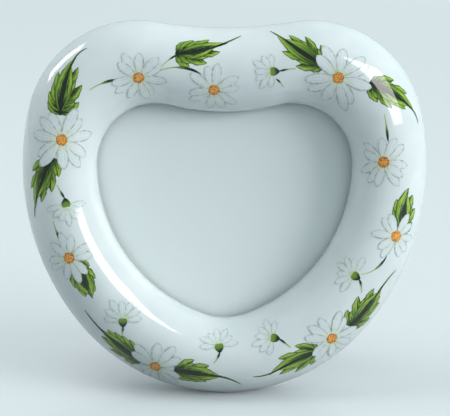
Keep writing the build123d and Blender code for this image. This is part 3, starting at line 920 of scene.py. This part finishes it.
class HEARTFRAME_OT_garland(bpy.types.Operator):
    """Paint the garland of daisies, buds, leaves and stems on the ring"""

    bl_idname = "heartframe.garland"
    bl_label = "Daisy Garland"

    def execute(self, context):
        garland = context.scene.heart_garland
        ring = bpy.data.objects["porcelain_ring"]
        skin = GlazedSkin(ring, context.scene.camera.location.copy())
        petals, centres, cups = [], [], []
        for flower in DAISIES:
            petals += self.daisy(skin, flower)
            centres.append(skin.dab(*skin.seen_at(flower.across, flower.up)))
        for bud in BUDS:
            petals += self.bud(skin, bud)
            cups.append(self.cup(skin, bud))
        stems = [self.stem(skin, stem) for stem in STEMS] + [self.stalk(skin, bud) for bud in BUDS]
        blades, lines = [], []
        for leaf in LEAVES:
            path = self.leaf_line(skin, leaf)
            blades += self.blades(skin, leaf, path)
            lines.append(skin.lay(LINE, path, LINE_HALF))

        dark = garland.leaf_dark[:]
        stem_paint = painted_green("painted_stem", garland.stem[:], colour("8FAE4B"), dark)
        cup_paint = painted_green("painted_cup", garland.leaf[:], colour("64872D"), dark)
        finish_paint("daisy_leaves", blades, ring, painted_leaf(garland))
        finish_paint("leaf_lines", lines, ring, painted_line(garland))
        finish_paint("daisy_stems", stems, ring, stem_paint)
        finish_paint("daisy_petals", petals, ring, painted_petal(garland, context.scene.heart_ring))
        finish_paint("bud_cups", cups, ring, cup_paint)
        finish_paint("daisy_centres", centres, ring, painted_centre(garland))
        return {"FINISHED"}

    def daisy(self, skin, flower):
        """Petals all round, each a little out of its even place and length"""
        spot, normal = skin.seen_at(flower.across, flower.up)
        for count in range(flower.petals):
            swing = PETAL_SWING * sin(count * 2.4 + flower.across)
            stretch = 1 - UNEVEN_PETAL * (1 + sin(count * 3.7 + flower.up))
            reach = PETAL_LENGTH_SHARE * flower.reach * stretch
            turn = flower.turn + count * 360 / flower.petals + swing
            forward = Quaternion(normal, radians(turn)) @ skin.towards(normal, 0)
            path = skin.walk(PETAL, spot, normal, forward, reach, lambda share: swing)
            yield skin.lay(PETAL, path, PETAL_HALF_SHARE * flower.reach, count % 3)

    def bud(self, skin, bud):
        """Petals spread round a bud's heading, each a little out of its even length"""
        spot, normal = skin.seen_at(bud.across, bud.up)
        for count in range(bud.petals):
            turn = bud.heading + BUD_SPREAD * (2 * count / (bud.petals - 1) - 1)
            reach = bud.reach * (1 - UNEVEN_BUD_PETAL * (1 - cos(2.1 * count + bud.up)))
            path = skin.walk(BUD_PETAL, spot, normal, skin.towards(normal, turn), reach)
            yield skin.lay(BUD_PETAL, path, BUD_PETAL_HALF_SHARE * bud.reach, count % 2)

    def cup(self, skin, bud):
        """The green cup under a bud's petals"""
        spot, normal = skin.seen_at(bud.across, bud.up)
        ahead = skin.towards(normal, bud.heading)
        path = skin.walk(CUP, spot + ahead * CUP_AHEAD * MM, normal, -ahead, CUP_LENGTH)
        return skin.lay(CUP, path, CUP_HALF)

    def stalk(self, skin, bud):
        """The stalk from a bud's root: dark where it meets the cup and pale at its far end"""
        spot, normal = skin.seen_at(bud.across, bud.up)
        root = spot + skin.towards(normal, bud.heading + 180) * (CUP_LENGTH - CUP_AHEAD - STALK_OVERLAP) * MM
        _, spot, normal, _ = skin.ring.closest_point_on_mesh(root)
        forward = skin.towards(normal, bud.heading + 180 + bud.stalk_turn)
        path = skin.walk(STALK, spot, normal, forward, bud.stalk, lambda share: bud.stalk_bend)
        return skin.lay(STALK, path[::-1], STALK_HALF)

    def stem(self, skin, stem):
        spot, normal = skin.seen_at(stem.across, stem.up)
        forward = skin.towards(normal, stem.heading)
        path = skin.walk(STEM, spot, normal, forward, stem.length, lambda share: stem.bend)
        return skin.lay(STEM, path, stem.half_width)

    def leaf_line(self, skin, leaf):
        """Where a leaf's line runs: along its body with one bend, and on as a tail that curls"""
        whole = leaf.length + leaf.tail
        body = leaf.length / whole
        spot, normal = skin.seen_at(leaf.across, leaf.up)
        forward = skin.towards(normal, leaf.heading)

        def turns(share):
            return leaf.bend / body if share <= body else leaf.curl / (1 - body)

        return skin.walk(LINE, spot, normal, forward, whole, turns)

    def blades(self, skin, leaf, line):
        """Pairs of brush strokes that swing out from a leaf's line and bend back to point to its tip"""
        body = LINE.steps * leaf.length / (leaf.length + leaf.tail)
        for count, pair in enumerate(PAIRS):
            spot, forward, normal = line[round(pair.start * body)]
            width = pair.half * leaf.half_width
            for side in (1, -1):
                uneven = 1 + UNEVEN_BLADE * sin(3 * count + 2 * side + leaf.heading)
                swing = side * pair.swing * leaf.spread * uneven
                reach = pair.reach * leaf.length * uneven
                turned = Quaternion(normal, radians(swing)) @ forward
                bend = leaf.bend * pair.reach - pair.bend * swing
                path = skin.walk(BLADE, spot, normal, turned, reach, lambda share: bend)
                yield skin.lay(BLADE, path, width, count, turned=side < 0)


# The back, in millimetres
VELVET_THICKNESS = 0.5
VELVET_PROUD = 0.2
VELVET_ROLL = 0.22
LEG_VELVET = 0.3
LEG_FRONT_Y = 0.5
LEG_BOARD = 2.0
LEG_TOP_WIDTH = 24.0
LEG_FOOT_WIDTH = 34.0
LEG_TOP_GAP = 2.2
LEG_CORNER = 3.0
LEG_CORNER_STEPS = 8
LEG_FOOT_GAP = 1.0
LEG_ROLL = 0.45
LEG_PLAY = 0.02
SEAM_GAP = 0.05
COVER_SPACING = 1.2
# In degrees: sharper edges are rolled, and the shading breaks over them
CLOTH_CREASE = 50
CLOTH_BEVEL = {"segments": 4, "limit_method": "ANGLE", "angle_limit": radians(CLOTH_CREASE)}


class HEARTFRAME_OT_velvet(bpy.types.Operator):
    """Cover the backing board and both faces of the leg with velvet"""

    bl_idname = "heartframe.velvet"
    bl_label = "Velvet"

    def execute(self, context):
        velvet = flock_velvet(context.scene.heart_back)
        self.back_cover(velvet)
        self.leg_cover("leg_front_cover", "leg_front_velvet", velvet, front=True)
        self.leg_cover("leg_rear_cover", "leg_rear_velvet", velvet, front=False)
        return {"FINISHED"}

    def back_cover(self, velvet):
        heart = grown(REBATE, -EDGE_GAP)
        points = outline(heart, steps_along(heart, COVER_SPACING))
        cloth = start("back_cover", bpy.ops.mesh.primitive_circle_add, vertices=len(points), fill_type="NGON")
        for vertex, (x, z) in zip(cloth.data.vertices, points):
            vertex.co = (x, VELVET_PROUD - VELVET_THICKNESS, z)
        raised = {"TRANSFORM_OT_translate": {"value": (0, VELVET_THICKNESS, 0)}}
        edit(cloth, (bpy.ops.mesh.extrude_region_move, raised))
        edit(cloth, (bpy.ops.mesh.normals_make_consistent, {"inside": False}))
        apply(cloth, "BEVEL", width=VELVET_ROLL, **CLOTH_BEVEL)
        place(cloth, STAND)
        smooth(cloth, CLOTH_CREASE)
        cover(cloth, velvet)
        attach(cloth, "frame")
        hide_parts("back_velvet")

    def leg_cover(self, name, node, velvet, front):
        """Half of the leg's wrap: over one face and round to the middle of the board's edge"""
        hinge_above = Vector(JOINTS["leg_hinge"]["pos_m"]).z / MM
        top = HINGE.z - LEG_TOP_GAP + LEG_VELVET
        bottom = HINGE.z - hinge_above / cos(LEG_OPEN - LEAN) + LEG_FOOT_GAP
        half_top, half_foot = LEG_TOP_WIDTH / 2 + LEG_VELVET, LEG_FOOT_WIDTH / 2 + LEG_VELVET
        face_y = LEG_FRONT_Y if front else LEG_FRONT_Y + LEG_BOARD + 2 * LEG_VELVET
        seam = (LEG_BOARD / 2 + LEG_VELVET - SEAM_GAP) * (1 if front else -1)
        cloth = start(name, bpy.ops.mesh.primitive_plane_add, size=2)
        for vertex in cloth.data.vertices:
            upper = vertex.co.y > 0
            vertex.co = (vertex.co.x * (half_top if upper else half_foot), face_y, top if upper else bottom)
            vertex.select = upper

        choose(cloth)
        bpy.ops.object.mode_set(mode="EDIT")
        bpy.ops.mesh.bevel(affect="VERTICES", offset=LEG_CORNER, segments=LEG_CORNER_STEPS)
        bpy.ops.mesh.select_all(action="SELECT")
        bpy.ops.mesh.subdivide(number_cuts=1)
        bpy.ops.mesh.region_to_loop()
        bpy.ops.mesh.extrude_edges_move(TRANSFORM_OT_translate={"value": (0, seam, 0)})
        bpy.ops.mesh.select_all(action="SELECT")
        bpy.ops.mesh.normals_make_consistent(inside=False)
        bpy.ops.object.mode_set(mode="OBJECT")
        area = sum(face.area for face in cloth.data.polygons) * MM**2
        apply(cloth, "BEVEL", width=LEG_ROLL, **CLOTH_BEVEL)
        apply(cloth, "SOLIDIFY", thickness=LEG_VELVET - LEG_PLAY, offset=-1)
        place(cloth, LEG_STAND)
        smooth(cloth, CLOTH_CREASE)
        cover(cloth, velvet)
        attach(cloth, "easel_leg")
        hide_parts(node)


class HEARTFRAME_OT_fittings(bpy.types.Operator):
    """Finish the boards, the hinge, the rivets, the turn buttons and their screws"""

    bl_idname = "heartframe.fittings"
    bl_label = "Back Fittings"

    def execute(self, context):
        settings = context.scene.heart_back
        dress(fibre_board("hardboard", settings.board[:], colour("4A3220")), "backing_board", "leg_board")
        steel = plated_steel(settings)
        dress(steel, "hinge_upper_leaf", "hinge_lower_leaf", "hinge_pin", "board_rivets", "leg_rivets")
        buttons = [name for name in NODES if name.startswith("turn_button_")]
        dress(rolled_brass(settings), "button_screws", *buttons)
        dress(moulded_nylon(settings), "button_washers", "screw_anchors")
        return {"FINISHED"}


# The camera looks at a place across and up from the heart's middle, in millimetres like its sensor's
# width, and the stage's other lengths are in metres. A lamp has the name of its power setting, its
# azimuth from the front and its height above the horizon in degrees, its distance, its width and
# height, and whether it lights the frame. A lamp that doesn't is mirrored in the glaze instead
PICTURE_MIDDLE = (0.2, -1.0)
SENSOR_WIDTH = 36
NEAR_CLIP = 0.05
FLOOR_SIZE = 8
Lamp = namedtuple("Lamp", "name setting azimuth above distance wide high lights")
LAMPS = [
    Lamp("key_light", "key", 64, 18, 1.6, 0.9, 0.6, True),
    Lamp("fill_light", "fill", -90, 65, 0.8, 0.4, 0.4, True),
    Lamp("side_light", "side", -112, 14, 1.6, 0.8, 0.5, True),
    Lamp("back_light", "back", 165, 24, 2.0, 0.9, 0.7, True),
    Lamp("softbox", "softbox", 43, 31, 0.5, 0.26, 0.24, False),
    Lamp("strip_light", "strip", -108, 40, 0.6, 0.13, 0.26, False),
]


class HEARTFRAME_OT_stage(bpy.types.Operator):
    """Set the pale floor, the soft studio lights and the camera"""

    bl_idname = "heartframe.stage"
    bl_label = "Stage"

    def execute(self, context):
        scene = context.scene
        settings = scene.heart_stage
        scene.view_settings.view_transform = "Standard"

        floor = start("floor", bpy.ops.mesh.primitive_plane_add, size=FLOOR_SIZE)
        cover(floor, matt_floor(settings))
        scene.world = self.room(settings)
        across, up = PICTURE_MIDDLE
        middle = STAND @ Vector((across, -RING_BASE, up))
        scene.camera = self.camera(context, settings, middle)
        for lamp in LAMPS:
            self.light(context, settings, middle, lamp)
        return {"FINISHED"}

    def room(self, settings):
        """A pale room that is even to the eye and lights the frame more from the right"""
        room = bpy.data.worlds.new("room")
        room.use_nodes = True
        tree = room.node_tree
        away = add(tree, "SeparateXYZ", [add(tree, "TexCoord", out="Generated")])
        dim, bright = settings.room * (1 - settings.lean), settings.room * (1 + settings.lean)
        cast = add(tree, "MapRange", {"Value": away, "From Min": -1.0, "To Min": dim, "To Max": bright})
        strength = add(tree, "MapRange", {"Value": seen_by(tree), "To Min": cast, "To Max": settings.seen})
        wire(tree, tree.nodes["Background"].inputs, Color=settings.sky[:], Strength=strength)
        return room

    def camera(self, context, settings, middle):
        """A long lens a little above the frame"""
        rise = settings.elevation
        bpy.ops.object.camera_add(
            location=middle + Vector((0, -cos(rise), sin(rise))) * settings.distance,
            rotation=(pi / 2 - rise, 0, 0),
        )
        camera = context.active_object
        camera.data.lens = settings.focal
        camera.data.sensor_width = SENSOR_WIDTH
        camera.data.clip_start = NEAR_CLIP
        return camera

    def light(self, context, settings, middle, lamp):
        """A lamp turned to the middle of the picture"""
        around, up = radians(lamp.azimuth), radians(lamp.above)
        away = Vector((sin(around) * cos(up), -cos(around) * cos(up), sin(up)))
        bpy.ops.object.light_add(
            type="AREA",
            location=middle + away * lamp.distance,
            rotation=away.to_track_quat("Z", "Y").to_euler(),
        )
        light = context.active_object
        light.name = lamp.name
        light.data.shape = "RECTANGLE"
        light.data.size, light.data.size_y = lamp.wide, lamp.high
        light.data.energy = getattr(settings, lamp.setting)
        light.visible_diffuse = lamp.lights
        light.visible_glossy = not lamp.lights


class HEARTFRAME_PT_panel(bpy.types.Panel):
    """Lists the pieces of the photo frame"""

    bl_label = "Porcelain Photo Frame"
    bl_idname = "HEARTFRAME_PT_panel"
    bl_space_type = "VIEW_3D"
    bl_region_type = "UI"
    bl_category = "Photo Frame"

    def draw(self, context):
        for operator in OPERATORS:
            self.layout.operator(operator.bl_idname)
        for group in ("heart_ring", "heart_garland", "heart_back", "heart_stage"):
            settings = getattr(context.scene, group)
            box = self.layout.box()
            for name in settings.__annotations__:
                box.prop(settings, name)


GROUPS = {
    "heart_ring": RingSettings,
    "heart_garland": GarlandSettings,
    "heart_back": BackSettings,
    "heart_stage": StageSettings,
}
OPERATORS = (
    HEARTFRAME_OT_stage,
    HEARTFRAME_OT_ring,
    HEARTFRAME_OT_lens,
    HEARTFRAME_OT_garland,
    HEARTFRAME_OT_velvet,
    HEARTFRAME_OT_fittings,
)


def register():
    for made in (*GROUPS.values(), *OPERATORS, HEARTFRAME_PT_panel):
        bpy.utils.register_class(made)
    for name, group in GROUPS.items():
        setattr(bpy.types.Scene, name, PointerProperty(type=group))


def unregister():
    for name in GROUPS:
        delattr(bpy.types.Scene, name)
    for made in reversed((*GROUPS.values(), *OPERATORS, HEARTFRAME_PT_panel)):
        bpy.utils.unregister_class(made)


def main():
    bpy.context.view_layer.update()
    register()
    bpy.ops.heartframe.stage()
    bpy.ops.heartframe.ring()
    bpy.ops.heartframe.lens()
    bpy.ops.heartframe.garland()
    bpy.ops.heartframe.velvet()
    bpy.ops.heartframe.fittings()


if __name__ == "__main__":
    main()
